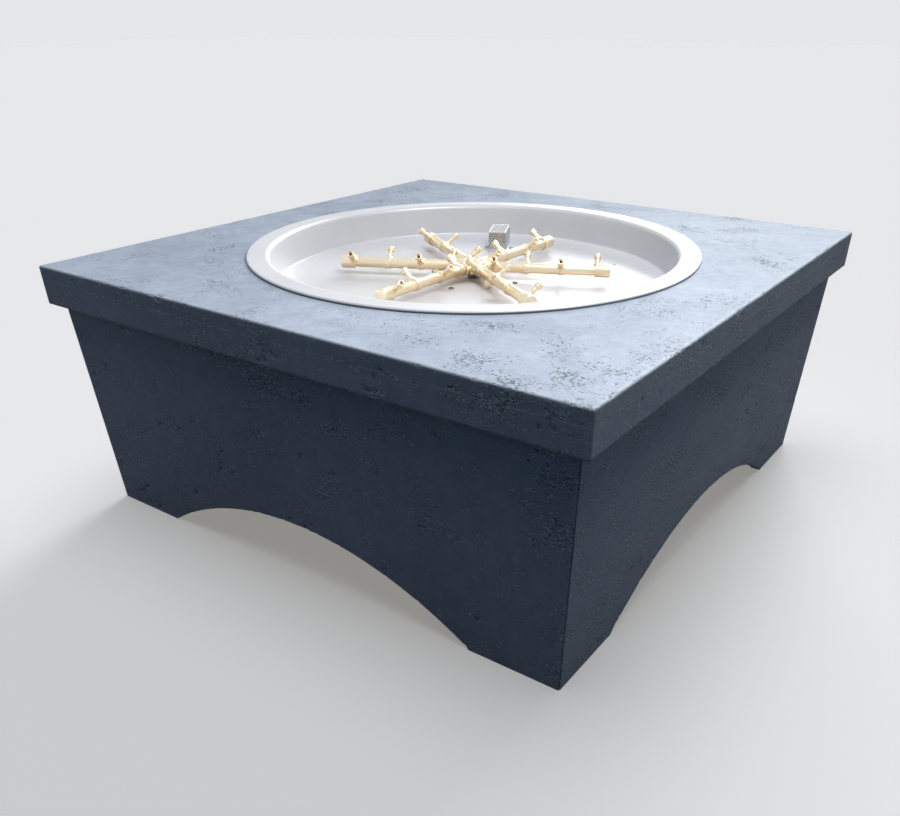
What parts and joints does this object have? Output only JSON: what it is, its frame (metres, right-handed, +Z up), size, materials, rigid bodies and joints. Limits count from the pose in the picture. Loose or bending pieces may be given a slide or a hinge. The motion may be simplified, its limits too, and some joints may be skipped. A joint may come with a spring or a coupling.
{
  "type": "gas fire pit table",
  "caption": "Square slate-grey concrete fire table with arched sides and a drop-in round steel pan that carries a star-shaped brass gas burner.",
  "frame": {"origin": "on the floor under the middle of the table", "axes": "+Z up, -Y towards the front face, +X towards the right face"},
  "size_m": [1.2188, 1.2188, 0.524],
  "materials": {
    "slate_concrete": "cast glass-fibre concrete, slate blue-grey, satin sealed, scattered air pits",
    "pan_steel": "bright satin stainless sheet",
    "burner_brass": "polished pale brass with machining lines",
    "valve_brass": "cast and turned brass, satin",
    "zinc_steel": "zinc-plated steel",
    "cage_steel": "perforated stainless sheet",
    "hose_steel": "corrugated stainless hose",
    "alloy_tube": "soft drawn tube",
    "copper_lead": "bare copper capillary",
    "lead_silicone": "silicone insulation",
    "black_plastic": "fine matt moulded plastic",
    "grip_vinyl": "dipped vinyl",
    "electrode_ceramic": "unglazed alumina",
    "battery_can": "shrink-wrapped can"
  },
  "bodies": {
    "table": {"front_panel": "slate_concrete", "right_panel": "slate_concrete", "back_panel": "slate_concrete", "left_panel": "slate_concrete", "table_top": "slate_concrete", "corner_angles": "zinc_steel", "corner_angle_screws": "zinc_steel", "slab_cleats": "zinc_steel", "slab_cleat_screws": "zinc_steel"},
    "pan_assembly": {"air_mixer_body": "valve_brass", "arm_end_caps": "burner_brass", "bracket_bolts": "zinc_steel", "bracket_nuts": "zinc_steel", "burner_arm_back_left": "burner_brass", "burner_arm_back_right": "burner_brass", "burner_arm_front_left": "burner_brass", "burner_arm_front_right": "burner_brass", "burner_arm_left": "burner_brass", "burner_arm_right": "burner_brass", "burner_hub": "burner_brass", "burner_jets_back_left": "burner_brass", "burner_jets_back_right": "burner_brass", "burner_jets_front_left": "burner_brass", "burner_jets_front_right": "burner_brass", "burner_jets_left": "burner_brass", "burner_jets_right": "burner_brass", "burner_legs": "burner_brass", "control_bracket": "zinc_steel", "ear_screws": "zinc_steel", "fire_pan": "pan_steel", "flame_sensor": "copper_lead", "gas_hose": "hose_steel", "hose_nuts": "valve_brass", "igniter_battery": "battery_can", "igniter_body": "black_plastic", "igniter_nut": "zinc_steel", "jet_collars": "burner_brass", "pilot_base": "cage_steel", "pilot_burner": "valve_brass", "pilot_cage": "cage_steel", "pilot_tube": "alloy_tube", "riser_elbow": "zinc_steel", "riser_locknuts": "zinc_steel", "riser_nipple": "zinc_steel", "riser_washers": "zinc_steel", "safety_valve_body": "valve_brass", "sensor_lead": "copper_lead", "shutoff_valve_body": "valve_brass", "spark_electrode": "electrode_ceramic", "spark_lead": "lead_silicone", "valve_nipple": "valve_brass"},
    "valve_spindle": {"valve_spindle": "zinc_steel"},
    "valve_knob": {"valve_knob": "black_plastic"},
    "shutoff_handle": {"shutoff_stem": "zinc_steel", "shutoff_lever": "zinc_steel", "lever_sleeve": "grip_vinyl", "lever_nut": "zinc_steel"},
    "air_shutter": {"air_shutter": "valve_brass"},
    "spark_button": {"spark_button": "black_plastic"}
  },
  "joints": [
    {"name": "pan_lift", "type": "slide", "parent": "table", "child": "pan_assembly", "axis": [0, 0, 1], "range_m": [0, 0.4]},
    {"name": "knob_push", "type": "slide", "parent": "pan_assembly", "child": "valve_spindle", "axis": [0, 1, 0], "range_m": [0, 0.005], "stiffness_N_per_m": 1500},
    {"name": "knob_turn", "type": "hinge", "parent": "valve_spindle", "child": "valve_knob", "pos_m": [0, -0.2113, 0.2437], "axis": [0, -1, 0], "range_deg": [0, 180]},
    {"name": "shutoff_turn", "type": "hinge", "parent": "pan_assembly", "child": "shutoff_handle", "pos_m": [0, -0.2113, 0.1837], "axis": [0, 1, 0], "range_deg": [0, 90]},
    {"name": "shutter_turn", "type": "hinge", "parent": "pan_assembly", "child": "air_shutter", "pos_m": [0, -0.054, 0.4], "axis": [0, 1, 0], "range_deg": [0, 60]},
    {"name": "button_press", "type": "slide", "parent": "pan_assembly", "child": "spark_button", "axis": [0, 1, 0], "range_m": [0, 0.005], "stiffness_N_per_m": 600}
  ]
}
